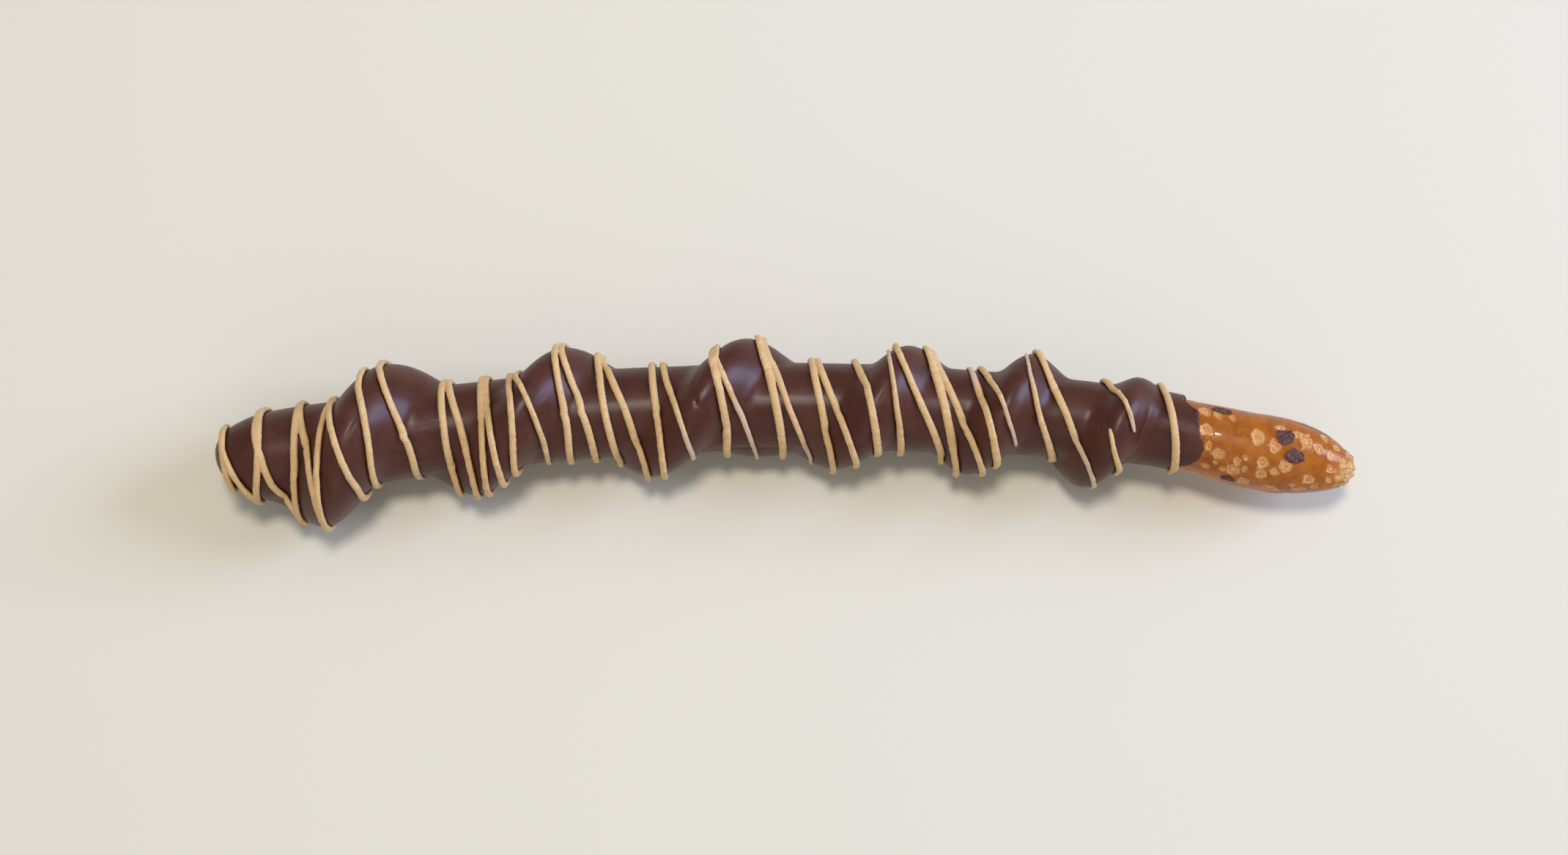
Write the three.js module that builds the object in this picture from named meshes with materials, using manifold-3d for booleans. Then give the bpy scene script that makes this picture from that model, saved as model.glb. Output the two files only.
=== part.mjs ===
// A chocolate-dipped pretzel rod with a thin drizzle over it, lying on its own flattened feet.
// Millimetres, +Z up. +X runs along the rod from the dipped end to the bare end, +Y points to the back.
// The rod is one baked piece. The coat is one shell, closed at the dipped end and open at its lip,
// with a rounded ridge that winds round it. Strands of drizzle and a few chocolate spots lie on top.

import * as THREE from 'three';
import { mergeVertices } from 'three/addons/utils/BufferGeometryUtils.js';
import Module from 'manifold-3d';

const wasm = await Module();
wasm.setup();

// ---------------------------------------------------------------- driving dimensions

const DIPPED_TIP = -96.5; // x of the closed, dipped end
const BARE_TIP = 96.8; // x of the bare end
const LIP_X = 70.2; // x where the chocolate stops, along the top
const LIP_LEAN = 2; // how far the lip falls back at the sides, and again underneath
const LIP_BLEND = 8; // length before the lip over which it leans
const FIT = 0.3; // gap between the rod and the coat's pocket

const COAT_RADIUS = 7.5; // outside of the coat between the ridge's laps
const LIP_RADIUS = 6.5; // it thins to this at the lip
const THINS_FROM = 5; // x where it starts to thin
const COAT_NOSE = 10; // length of the rounded dipped end
const COAT_TIP_WALL = 0.9; // chocolate over the rod's hidden end

const ROD_RADIUS = 5.8; // the rod inside the coat
const ROD_NOSE = 9; // length of its rounded hidden end
const BARE_RADIUS = 6.45; // the bare end swells to this
const SWELL_FROM = 66; // x where it starts to swell
const SWELL_TO = 80; // x where it is at full size
const BARE_TAPER = 14; // length over which the bare end narrows to its tip
const BELLY = 0.94; // the baked belly is flat at this share of the radius

const AXIS_HEIGHT = 10.6; // the rod's centreline above the surface it lies on
const BOW_PEAK = 4; // x where the gentle bow is furthest back
const BOW_RATE = 0.00105; // sideways fall of the bow, per square millimetre from its peak
const BARE_DIP = 1.7; // how far the bare end turns further forward
const DIP_FROM = 62; // x where that turn starts
const DIP_TO = 82; // and where it is complete
const NOSE_KICK = 3; // how far the dipped end would be pushed towards the back, short of its own tip
const NOSE_KICK_LENGTH = 7; // that push fades out over this length to either side of the tip

// The ridge, a row for each half turn: x, height above the coat and half of its width at the base.
// The first row is at the back, the next at the front, and so on towards the bare end.
const RIDGE = [
  [-88, 0, 9],
  [-80, 6.1, 9],
  [-65.8, 5.0, 8.5],
  [-53.7, 4.4, 8.0],
  [-36.6, 4.5, 7.4],
  [-23.0, 3.9, 7.2],
  [-6.4, 4.5, 7.3],
  [8.5, 3.3, 7.0],
  [21.2, 3.6, 6.3],
  [31.7, 3.8, 6.2],
  [41.8, 3.8, 5.8],
  [52.0, 5.0, 6.2],
  [59.9, 1.9, 4.2],
  [68, 0, 4],
];
const RIDGE_FRONT = THREE.MathUtils.degToRad(-15); // the angle round the rod of a front row
const RIDGE_SHARPNESS = 1.4; // 1 is a round rope's outline, more has softer fillets
const STEEP_SIDE = 0.82; // the ridge's side towards the dipped end is steeper, this share as wide

// A sag in the coat, low on the front between two laps of the ridge
const SAG = { x: -4, angle: -35, height: 1.5, reachX: 9, reachAngle: 45 };

const BEAD_HEIGHT = 0.42; // half the height of a strand of drizzle
const BEAD_WIDTH = 0.62; // half of its usual width
const BEAD_GAP = 0.32; // clearance between a strand and the faceted coat
const BEAD_STEP = 2; // distance between its sections
const BEAD_SIDES = 6; // round it
const BEAD_CAP_RINGS = 2; // over each of its rounded ends
const FOOT_SHIFT = 0.8; // how much of a slope's sideways push on a strand is taken back
const BEAD_TURN_RADIUS = 8.5; // how far it lies from the centreline, on average
const BACK_END = 200; // degrees round the rod where a strand starts, low on the back
const FRONT_END = -28; // and where it ends, low on the front

const TOP_VIEW = THREE.MathUtils.degToRad(77); // strands lie straight as seen from this steep angle

const SPOT_HEIGHT = 0.16; // half of a chocolate spot's thickness
const SPOT_GAP = 0.12; // clearance between a spot and the faceted rod
const SPOT_SIDES = 12;

const ROD_SIDES = 24;
const COAT_SIDES = 28;
const NOSE_RINGS = 5; // rings of facets over each rounded nose at the dipped end
const COAT_RINGS = 84; // along the coat, to follow the ridge
const ROD_RINGS = 9; // along the rod inside the coat, and again over its bare tip
const SWELL_RINGS = 6; // along the full width of the bare end
const LIP_RINGS = 3; // along the pocket under the lip
const POCKET_OVERSHOOT = 4; // the pocket is cut out past the lip by this much
const TABLE = { length: 400, width: 100, depth: 20 }; // a block below the rod, to flatten its feet with

const SAME_POINT = 1e-5; // vertices closer than this are one
const PATH_STEP = 0.02; // half of the turn over which a strand's direction is measured, in radians
const SLOPE_STEP = 0.1; // half of the length over which the coat's slope is measured

// ---------------------------------------------------------------- materials

const bakedCrust = { color: 0xb8702f, roughness: 0.35, metalness: 0 };
const darkChocolate = { color: 0x4a2a22, roughness: 0.38, metalness: 0 };
const drizzleChocolate = { color: 0xd0a468, roughness: 0.6, metalness: 0 };

// ---------------------------------------------------------------- the rod's own coordinates

// Every surface is described by x along the rod, a radius, and an angle round the centreline:
// 0 at the front, a quarter turn at the top and half a turn at the back.

const smooth = THREE.MathUtils.smoothstep;

function bowY(x) {
  return -BOW_RATE * (x - BOW_PEAK) ** 2 - BARE_DIP * smooth(x, DIP_FROM, DIP_TO);
}

function noseKick(x) {
  return NOSE_KICK * (1 - smooth(x, DIPPED_TIP - NOSE_KICK_LENGTH, DIPPED_TIP + NOSE_KICK_LENGTH));
}

function leanAt(x) {
  return Math.atan(-2 * BOW_RATE * (x - BOW_PEAK));
}

function onRod(x, radius, angle) {
  const lean = leanAt(x);
  const across = -radius * Math.cos(angle);
  return new THREE.Vector3(
    x - across * Math.sin(lean),
    bowY(x) + noseKick(x) + across * Math.cos(lean),
    AXIS_HEIGHT + radius * Math.sin(angle),
  );
}

// A quarter of an ellipse: 0 at the tip, 1 once the full length is reached
function rounded(fromTip, length) {
  const left = THREE.MathUtils.clamp(1 - fromTip / length, 0, 1);
  return Math.sqrt(1 - left * left);
}

function rodRadius(x) {
  const full = THREE.MathUtils.lerp(ROD_RADIUS, BARE_RADIUS, smooth(x, SWELL_FROM, SWELL_TO));
  const hiddenTip = DIPPED_TIP + COAT_TIP_WALL + FIT;
  return full * rounded(x - hiddenTip, ROD_NOSE) * rounded(BARE_TIP - x, BARE_TAPER);
}

function rodSurface(x, angle) {
  const radius = rodRadius(x);
  const drop = Math.max(-Math.sin(angle), 0);
  return drop > BELLY ? (radius * BELLY) / drop : radius;
}

const ridgeLine = new THREE.CatmullRomCurve3(
  RIDGE.map((row) => new THREE.Vector3(...row)),
  false,
  'catmullrom',
  0.5,
);

function ridgeHeight(x, angle) {
  const last = RIDGE.length - 1;
  let height = 0;
  for (let lap = -1; lap <= last / 2 + 1; lap += 1) {
    const row = 1 + 2 * (lap + (angle - RIDGE_FRONT) / (2 * Math.PI));
    if (row > 0 && row < last) {
      const crest = ridgeLine.getPoint(row / last);
      const reach = x < crest.x ? crest.z * STEEP_SIDE : crest.z;
      const off = Math.min(Math.abs(x - crest.x) / reach, 1);
      height = Math.max(height, crest.y * (1 - off * off) ** RIDGE_SHARPNESS);
    }
  }
  return Math.max(height, 0);
}

function sagHeight(x, angle) {
  const degrees = THREE.MathUtils.euclideanModulo(THREE.MathUtils.radToDeg(angle) + 180, 360) - 180;
  const off = Math.hypot((x - SAG.x) / SAG.reachX, (degrees - SAG.angle) / SAG.reachAngle);
  return SAG.height * (1 - Math.min(off, 1) ** 2) ** 2;
}

// The coat without its ridge
function bodyRadius(x) {
  const full = THREE.MathUtils.lerp(COAT_RADIUS, LIP_RADIUS, smooth(x, THINS_FROM, LIP_X));
  return full * rounded(x - DIPPED_TIP, COAT_NOSE);
}

function coatRadius(x, angle) {
  return bodyRadius(x) + Math.max(ridgeHeight(x, angle), sagHeight(x, angle));
}

// The lip reaches furthest along the top and falls back towards the underside
function lipShift(x, angle) {
  const lean = LIP_LEAN * (Math.cos(angle - TOP_VIEW) - 1);
  return lean * smooth(x, LIP_X - LIP_BLEND, LIP_X);
}

// ---------------------------------------------------------------- helpers for closed solids

function merged(geometry) {
  const bare = geometry.clone();
  bare.deleteAttribute('normal');
  bare.deleteAttribute('uv');
  return mergeVertices(bare, SAME_POINT);
}

function toSolid(geometry) {
  const shape = merged(geometry);
  const { index } = shape;
  const corners = [];
  for (let i = 0; i < index.count; i += 3) {
    const face = [index.getX(i), index.getX(i + 1), index.getX(i + 2)];
    if (new Set(face).size === 3) corners.push(...face);
  }
  return new wasm.Manifold(new wasm.Mesh({
    numProp: 3,
    vertProperties: new Float32Array(shape.attributes.position.array),
    triVerts: new Uint32Array(corners),
  }));
}

function toGeometry(solid) {
  const { vertProperties, triVerts } = solid.getMesh();
  const geometry = new THREE.BufferGeometry();
  geometry.setAttribute('position', new THREE.BufferAttribute(new Float32Array(vertProperties), 3));
  geometry.setIndex(new THREE.BufferAttribute(new Uint32Array(triVerts), 1));
  geometry.computeVertexNormals();
  return geometry;
}

// Moves every point of a geometry to where place(point) says
function reshape(geometry, place) {
  const shape = merged(geometry);
  const { position } = shape.attributes;
  const point = new THREE.Vector3();
  for (let i = 0; i < position.count; i += 1) {
    const placed = place(point.fromBufferAttribute(position, i));
    position.setXYZ(i, placed.x, placed.y, placed.z);
  }
  return shape;
}

// A body turned round the rod's centreline: stations are [x, radius], from one end to the other,
// and surface(x, radius, angle) says where each point goes.
function turned(stations, sides, surface) {
  const profile = stations.map(([x, radius]) => new THREE.Vector2(radius, x));
  return reshape(new THREE.LatheGeometry(profile, sides), (point) => {
    const radius = Math.hypot(point.x, point.z);
    const angle = Math.atan2(point.x, -point.z);
    return surface(point.y, radius, angle);
  });
}

// Stations from one x to another, packed closer towards a rounded nose at the start or the end
function noseStations(tip, direction, length, count, radiusAt) {
  return Array.from({ length: count + 1 }, (_, i) => {
    const x = tip + direction * length * (1 - Math.cos((i / count) * (Math.PI / 2)));
    return [x, i === 0 ? 0 : radiusAt(x)];
  });
}

function evenStations(from, to, count, radiusAt) {
  return Array.from({ length: count }, (_, i) => {
    const x = THREE.MathUtils.lerp(from, to, (i + 1) / (count + 1));
    return [x, radiusAt(x)];
  });
}

// ---------------------------------------------------------------- the baked rod

function makeRod() {
  const start = DIPPED_TIP + COAT_TIP_WALL + FIT;
  const stations = [
    ...noseStations(start, 1, ROD_NOSE, NOSE_RINGS, rodRadius),
    ...evenStations(start + ROD_NOSE, SWELL_FROM, ROD_RINGS, rodRadius),
    ...evenStations(SWELL_FROM, BARE_TIP - BARE_TAPER, SWELL_RINGS, rodRadius),
    ...noseStations(BARE_TIP, -1, BARE_TAPER, ROD_RINGS, rodRadius).reverse(),
  ];
  return turned(stations, ROD_SIDES, (x, radius, angle) => (
    onRod(x, Math.min(radius, rodSurface(x, angle)), angle)
  ));
}

// ---------------------------------------------------------------- the dipped coat

function makeCoat() {
  const outside = turned([
    ...noseStations(DIPPED_TIP, 1, COAT_NOSE, NOSE_RINGS, bodyRadius),
    ...evenStations(DIPPED_TIP + COAT_NOSE, LIP_X, COAT_RINGS, bodyRadius),
    [LIP_X, LIP_RADIUS],
    [LIP_X, 0],
  ], COAT_SIDES, (x, radius, angle) => {
    const share = radius / bodyRadius(x) || 0;
    return onRod(x + lipShift(x, angle), share * coatRadius(x, angle), angle);
  });

  const pocketTip = DIPPED_TIP + COAT_TIP_WALL;
  const pocketRadius = (x) => rodRadius(Math.max(x, pocketTip + FIT + SAME_POINT)) + FIT;
  const pocketEnd = LIP_X + POCKET_OVERSHOOT;
  const pocket = turned([
    ...noseStations(pocketTip, 1, ROD_NOSE + FIT, NOSE_RINGS, pocketRadius),
    ...evenStations(pocketTip + ROD_NOSE + FIT, SWELL_FROM, ROD_RINGS, pocketRadius),
    ...evenStations(SWELL_FROM, pocketEnd, LIP_RINGS, pocketRadius),
    [pocketEnd, pocketRadius(pocketEnd)],
    [pocketEnd, 0],
  ], ROD_SIDES, onRod);

  // The underside of the ridge is pressed flat where the rod lies on it
  const surfaceBelow = new THREE.BoxGeometry(TABLE.length, TABLE.width, TABLE.depth)
    .translate(0, 0, -TABLE.depth / 2);
  return toGeometry(toSolid(outside).subtract(toSolid(pocket)).subtract(toSolid(surfaceBelow)));
}

// ---------------------------------------------------------------- the drizzle

// Each strand is one or more arms. An arm crosses the rod from the back, over the top, to the front:
// back, top and front are its x there, measured straight along +X. from and to are its end angles in
// degrees when they aren't the usual ones, and wide gives half of its width at its two ends. The two
// arms of a fork run side by side down the back. Where two arms of the zigzag meet, one of them ends
// inside the other.
const FORK = 190; // where a fork's second arm starts, in degrees
const LOOP = 158; // where an arm of the zigzag turns back behind the rod
const HOOK = -18; // and where it turns back in front
const ZIGZAG = [
  { back: -94.6, top: -93.9, front: -93.1, from: 175, to: -10 },
  { back: -94.6, top: -93.3, front: -89, from: 140, to: HOOK },
  { back: -88.5, top: -87.5, front: -89 },
  { back: -88.5, top: -87.0, front: -81.8, from: LOOP, to: HOOK },
  { back: -81.9, top: -81.5, front: -81.8 },
  { back: -81.9, top: -79.3, front: -77.2, from: LOOP, to: HOOK },
  { back: -76.4, top: -76.9, front: -77.2 },
  { back: -76.4, top: -73.6, front: -70.6, from: LOOP, to: HOOK },
];

const STRANDS = [
  ZIGZAG,
  [{ back: -70.8, top: -68.3, front: -69.0 }],
  [{ back: -68.0, top: -63.3, front: -61.8 }],
  [{ back: -57.9, top: -56.6, front: -55.3 }, { back: -56.9, top: -53.9, front: -51.9, from: FORK }],
  [{ back: -51.2, top: -50.3, front: -49.9 }, { back: -50.5, top: -49.0, front: -47.2, from: FORK }],
  [{ back: -46.6, top: -44.8, front: -45.0 }],
  [{ back: -45.0, top: -40.9, front: -39.9, wide: [0.6, 0.4] }],
  [{ back: -38.6, top: -36.4, front: -36.1 }, { back: -37.7, top: -33.5, front: -31.8, from: FORK }],
  [{ back: -31.7, top: -29.8, front: -27.9 }, { back: -30.9, top: -26.3, front: -23.1, from: FORK }],
  [{ back: -22.4, top: -21.2, front: -20.1 }],
  [{ back: -20.5, top: -18.0, front: -15.0, wide: [0.65, 0.4] }],
  [{ back: -12.0, top: -9.8, front: -9.6, wide: [0.8, 0.65] },
    { back: -11.4, top: -7.5, front: -4.5, from: FORK, wide: [0.7, 0.3] }],
  [{ back: -4.1, top: -1.2, front: 0, wide: [0.8, 0.65] },
    { back: -3.3, top: 0.9, front: 4.6, from: FORK, wide: [0.7, 0.35] }],
  [{ back: 4.8, top: 6.4, front: 8.5 }, { back: 5.8, top: 8.8, front: 12.5, from: FORK }],
  [{ back: 12.2, top: 14.6, front: 16.1, wide: [0.55, 0.8] }],
  [{ back: 17.6, top: 19.1, front: 20.0, from: 158, wide: [0.3, 0.75] }],
  [{ back: 19.0, top: 23.4, front: 27.0 }],
  [{ back: 24.8, top: 27.2, front: 29.5, wide: [0.8, 0.7] },
    { back: 25.6, top: 29.4, front: 33.9, from: FORK }],
  [{ back: 31.9, top: 33.7, front: 36.2, wide: [0.4, 0.85] }],
  [{ back: 33.8, top: 37.1, front: 39.9, to: 34, wide: [0.7, 0.3] }],
  [{ back: 41.1, top: 42.9, front: 45.9, from: 152, wide: [0.3, 0.75] }],
  [{ back: 43.5, top: 47.7, front: 53.0, wide: [0.8, 0.45] }],
  [{ back: 54.9, top: 58.4, front: 59.3, to: 68, wide: [0.75, 0.35] }],
  [{ back: 53.4, top: 53.8, front: 56.6, from: 71, wide: [0.35, 0.85] }],
  [{ back: 64.6, top: 65.5, front: 66.2, wide: [0.6, 0.7] }],
];

// The x of an arm as seen from above: across is 1 at the back edge, 0 on top and -1 at the front edge
function seenX(arm, across) {
  const slant = (arm.back - arm.front) / 2;
  const bulge = (arm.back + arm.front) / 2 - arm.top;
  return arm.top + slant * across + bulge * across * across;
}

function armX(arm, angle) {
  const turn = Math.sin(angle - TOP_VIEW);
  const edge = coatRadius(seenX(arm, Math.sign(turn)), TOP_VIEW + Math.sign(turn) * (Math.PI / 2));
  const reach = coatRadius(seenX(arm, turn), angle) * turn;
  const straight = seenX(arm, THREE.MathUtils.clamp(reach / edge, -1, 1));
  return straight - coatRadius(straight, angle) * Math.cos(angle) * Math.sin(leanAt(straight));
}

function coatPoint(x, angle) {
  return onRod(x, coatRadius(x, angle), angle);
}

// The direction away from the coat
function awayFrom(x, angle) {
  const down = coatPoint(x + SLOPE_STEP, angle).sub(coatPoint(x - SLOPE_STEP, angle));
  const round = coatPoint(x, angle + PATH_STEP).sub(coatPoint(x, angle - PATH_STEP));
  return down.cross(round).normalize();
}

// The x of the coat below a strand: on a slope, that is not straight below the middle of the strand
function footX(arm, angle) {
  const x = armX(arm, angle);
  return x - FOOT_SHIFT * (BEAD_GAP + BEAD_HEIGHT) * awayFrom(x, angle).x;
}

// The directions sideways along the coat and away from it, at one angle of a strand's path
function armFrame(arm, angle) {
  const [before, after] = [angle - PATH_STEP, angle + PATH_STEP];
  const along = coatPoint(footX(arm, after), after).sub(coatPoint(footX(arm, before), before)).normalize();
  const away = awayFrom(footX(arm, angle), angle);
  return { away, side: along.clone().cross(away).normalize() };
}

function makeArm(arm) {
  const from = THREE.MathUtils.degToRad(arm.from ?? BACK_END);
  const to = THREE.MathUtils.degToRad(arm.to ?? FRONT_END);
  const [wideFrom, wideTo] = arm.wide ?? [BEAD_WIDTH, BEAD_WIDTH];
  const reach = Math.abs(from - to) * BEAD_TURN_RADIUS;
  const steps = Math.round(reach / BEAD_STEP);
  const capRadius = 1;
  const bead = new THREE.CapsuleGeometry(capRadius, reach - 2 * capRadius, BEAD_CAP_RINGS, BEAD_SIDES, steps);
  return reshape(bead, (point) => {
    const travelled = 0.5 - point.y / reach;
    const angle = THREE.MathUtils.lerp(from, to, travelled);
    const { away, side } = armFrame(arm, angle);
    const width = THREE.MathUtils.lerp(wideFrom, wideTo, travelled);
    return coatPoint(footX(arm, angle), angle)
      .addScaledVector(away, BEAD_GAP + BEAD_HEIGHT * (1 + point.z))
      .addScaledVector(side, width * point.x);
  });
}

function makeStrand(arms) {
  const solids = arms.map((arm) => toSolid(makeArm(arm)));
  return toGeometry(solids.reduce((whole, next) => whole.add(next)));
}

// ---------------------------------------------------------------- chocolate spots on the bare end

const SPOTS = [
  { x: 83.9, angle: 106, length: 3.2, width: 3.0 },
  { x: 85.8, angle: 77, length: 3.8, width: 2.5 },
  { x: 73.6, angle: 136, length: 3.6, width: 1.9 },
  { x: 76.0, angle: 14, length: 2.8, width: 1.7 },
];

function makeSpot(spot) {
  return reshape(new THREE.SphereGeometry(1, SPOT_SIDES, SPOT_SIDES / 2), (point) => {
    const x = spot.x + (point.x * spot.length) / 2;
    const turn = (-point.z * spot.width) / 2 / rodRadius(spot.x);
    const angle = THREE.MathUtils.degToRad(spot.angle) + turn;
    return onRod(x, rodRadius(x) + SPOT_GAP + SPOT_HEIGHT * (1 + point.y), angle);
  });
}

// ---------------------------------------------------------------- the whole part

const group = new THREE.Group();

function addPiece(name, geometry, material) {
  const mesh = new THREE.Mesh(geometry, new THREE.MeshStandardMaterial(material));
  mesh.name = name;
  group.add(mesh);
}

addPiece('pretzel_rod', makeRod(), bakedCrust);
addPiece('chocolate_coat', makeCoat(), darkChocolate);
STRANDS.forEach((arms, i) => {
  addPiece(`drizzle_${String(i + 1).padStart(2, '0')}`, makeStrand(arms), drizzleChocolate);
});
SPOTS.forEach((spot, i) => {
  addPiece(`chocolate_spot_${i + 1}`, makeSpot(spot), darkChocolate);
});

// The origin is the middle of the whole part's box, on the surface that it lies on
const box = new THREE.Box3().setFromObject(group);
const middle = box.getCenter(new THREE.Vector3());
group.position.set(-middle.x, -middle.y, -box.min.z);
group.updateMatrixWorld(true);

export default group;
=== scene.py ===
"""A pretzel rod dipped in dark chocolate and drizzled with caramel coloured icing, on a pale table."""

import math
import random

import bmesh
import bpy
import numpy as np
from bpy.props import FloatProperty, FloatVectorProperty, IntProperty, PointerProperty
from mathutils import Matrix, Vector, noise
from mathutils.bvhtree import BVHTree


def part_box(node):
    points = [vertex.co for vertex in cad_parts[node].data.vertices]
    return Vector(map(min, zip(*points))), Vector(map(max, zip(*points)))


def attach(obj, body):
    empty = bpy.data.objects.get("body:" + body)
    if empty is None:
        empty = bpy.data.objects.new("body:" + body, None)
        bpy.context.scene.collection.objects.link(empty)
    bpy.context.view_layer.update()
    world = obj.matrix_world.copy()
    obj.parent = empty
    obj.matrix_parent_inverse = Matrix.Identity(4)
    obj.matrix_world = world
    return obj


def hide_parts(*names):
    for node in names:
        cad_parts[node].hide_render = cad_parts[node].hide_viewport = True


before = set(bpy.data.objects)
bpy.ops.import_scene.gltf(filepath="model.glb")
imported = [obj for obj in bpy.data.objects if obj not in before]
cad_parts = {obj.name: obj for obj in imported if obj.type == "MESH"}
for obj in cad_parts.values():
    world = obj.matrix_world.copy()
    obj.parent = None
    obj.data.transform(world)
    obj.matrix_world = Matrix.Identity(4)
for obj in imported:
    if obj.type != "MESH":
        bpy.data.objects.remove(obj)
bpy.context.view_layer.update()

bl_info = {
    "name": "Dipped pretzel rod",
    "version": (1, 0, 0),
    "blender": (4, 5, 0),
    "location": "3D View > Sidebar > Pretzel",
    "description": "Builds a chocolate-dipped, drizzled pretzel rod piece by piece around its solid model",
    "category": "Object",
}

MM = 0.001
QUARTER_TURN = math.pi / 2
BODY = "root"
COAT_NODE = "chocolate_coat"
ROD_NODE = "pretzel_rod"
DRIZZLE_NODES = sorted(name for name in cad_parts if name.startswith("drizzle_"))
SPOT_NODES = sorted(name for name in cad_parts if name.startswith("chocolate_spot_"))
COAT_PIECE = "dipped_chocolate"
ROD_PIECE = "baked_rod"


# ---------------------------------------------------------------- settings


def colour(name, description, default):
    """A colour swatch, given as the scene's own linear light."""
    return FloatVectorProperty(
        name=name, description=description, subtype="COLOR", size=3, min=0, max=1, default=default
    )


def length(name, description, default):
    """A length in metres."""
    return FloatProperty(
        name=name, description=description, subtype="DISTANCE", unit="LENGTH", precision=5, default=default
    )


def power(name, description, default):
    """A light's power in watts."""
    return FloatProperty(name=name, description=description, unit="POWER", default=default)


class PretzelCoatSettings(bpy.types.PropertyGroup):
    """Sizes and colours of the chocolate dip."""

    cell: length("Mesh step", "Distance between neighbouring rings of the dip's surface", 0.36 * MM)
    waviness: length("Waviness", "Height of the slow waves in the set chocolate", 0.12 * MM)
    chocolate: colour("Chocolate", "Main colour of the dip", (0.066, 0.0155, 0.0070))
    milky: colour("Milky streaks", "Lighter brown of the faint clouds", (0.094, 0.0265, 0.0145))
    smear: colour("Smears", "Dull brown of chocolate rubbed on the bare end", (0.165, 0.075, 0.075))
    # Painted shade: how dark the chocolate is painted beside the drizzle lines.
    painted_contact_shade: FloatProperty(name="Contact shade", description="Darkness beside the drizzle", default=0.7)
    sides: IntProperty(name="Sides", description="Faces round the dip", min=24, max=400, default=184)


class PretzelRodSettings(bpy.types.PropertyGroup):
    """Sizes and colours of the baked rod."""

    cell: length("Mesh step", "Distance between rings of the bare end's surface", 0.16 * MM)
    scar_depth: length("Scar depth", "How deep a salt scar sinks into the crust", 0.12 * MM)
    lumps: length("Lumps", "Height of the slow unevenness of the crust", 0.10 * MM)
    crust: colour("Crust", "Glossy orange-brown crust", (0.41, 0.120, 0.004))
    crust_dark: colour("Baked crust", "Crust where it is browned most", (0.27, 0.060, 0.003))
    scar: colour("Salt scars", "Pale rings left where salt grains came off", (0.78, 0.43, 0.17))
    crumb: colour("Crumb", "Broken inside of the rod at its tip", (0.70, 0.42, 0.16))
    sides: IntProperty(name="Sides", description="Faces round the rod", min=24, max=400, default=260)


class PretzelDrizzleSettings(bpy.types.PropertyGroup):
    """Sizes and colours of the drizzle."""

    cell: length("Mesh step", "Cell size of the drizzle's surface", 0.13 * MM)
    height: length("Height", "How far a line stands off the chocolate", 0.92 * MM)
    swell: length("Swell", "Fullness given back to a line after it is smoothed", 0.07 * MM)
    wobble: length("Wobble", "How far a line's edge wanders from side to side", 0.05 * MM)
    icing: colour("Icing", "Colour of the drizzle", (0.65, 0.415, 0.185))
    speckle: colour("Speckles", "Fine brown grains in the drizzle", (0.32, 0.14, 0.05))
    thin: colour("Thin icing", "Pinkish white where a line runs out thin", (0.60, 0.42, 0.275))


class PretzelStageSettings(bpy.types.PropertyGroup):
    """Camera, table and lights."""

    elevation: FloatProperty(
        name="Camera elevation",
        description="Angle above the table",
        subtype="ANGLE",
        default=math.radians(77),
    )
    distance: length("Camera distance", "From the lens to the rod", 0.36)
    lens: FloatProperty(name="Lens", description="Focal length", unit="CAMERA", default=48.45)
    aim_back: length("Aim back", "How far behind the middle the camera looks", 0.8 * MM)
    aim_height: length("Aim height", "How far above the table the camera looks", 10.8 * MM)
    table: colour("Table", "Colour of the pale table top", (0.750, 0.707, 0.580))
    key_power: power("Key light", "Power of the soft light overhead", 3.7)
    window_power: power("Window", "Power of the cool window light", 18.5)
    fill_power: power("Fill light", "Power of the wide light in front", 1.2)
    room: FloatProperty(name="Room", description="Strength of the light from all round", default=0.38)


class PretzelSettings(bpy.types.PropertyGroup):
    """All settings of the pretzel rod."""

    coat: PointerProperty(type=PretzelCoatSettings)
    rod: PointerProperty(type=PretzelRodSettings)
    drizzle: PointerProperty(type=PretzelDrizzleSettings)
    stage: PointerProperty(type=PretzelStageSettings)


# ---------------------------------------------------------------- materials


# Colours that only tint a finish.
CHOCOLATE_GRAIN = (0.026, 0.009, 0.006)
# Painted shade on the chocolate beside the drizzle lines.
PAINTED_SHADE_BESIDE_DRIZZLE = (0.018, 0.005, 0.003)
WARM_ICING = (0.71, 0.475, 0.222)
# Painted shade at the foot of each drizzle line.
PAINTED_FOOT_SHADE = (0.10, 0.04, 0.02)
CRUST_FLECKS = (0.56, 0.24, 0.08)
DARK_CRUMB = (0.40, 0.17, 0.05)
# Darker colour of the streaks on the crust near the back edge.
DARK_STREAK_COLOUR = (0.10, 0.028, 0.010)
# How much darker the table's clouds are than the rest of it.
TABLE_CLOUDS = 0.985

# The sockets of a mix node that belong to colours.
MIX_FACTOR, MIX_FIRST, MIX_SECOND, MIX_RESULT = 0, 6, 7, 2


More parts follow.
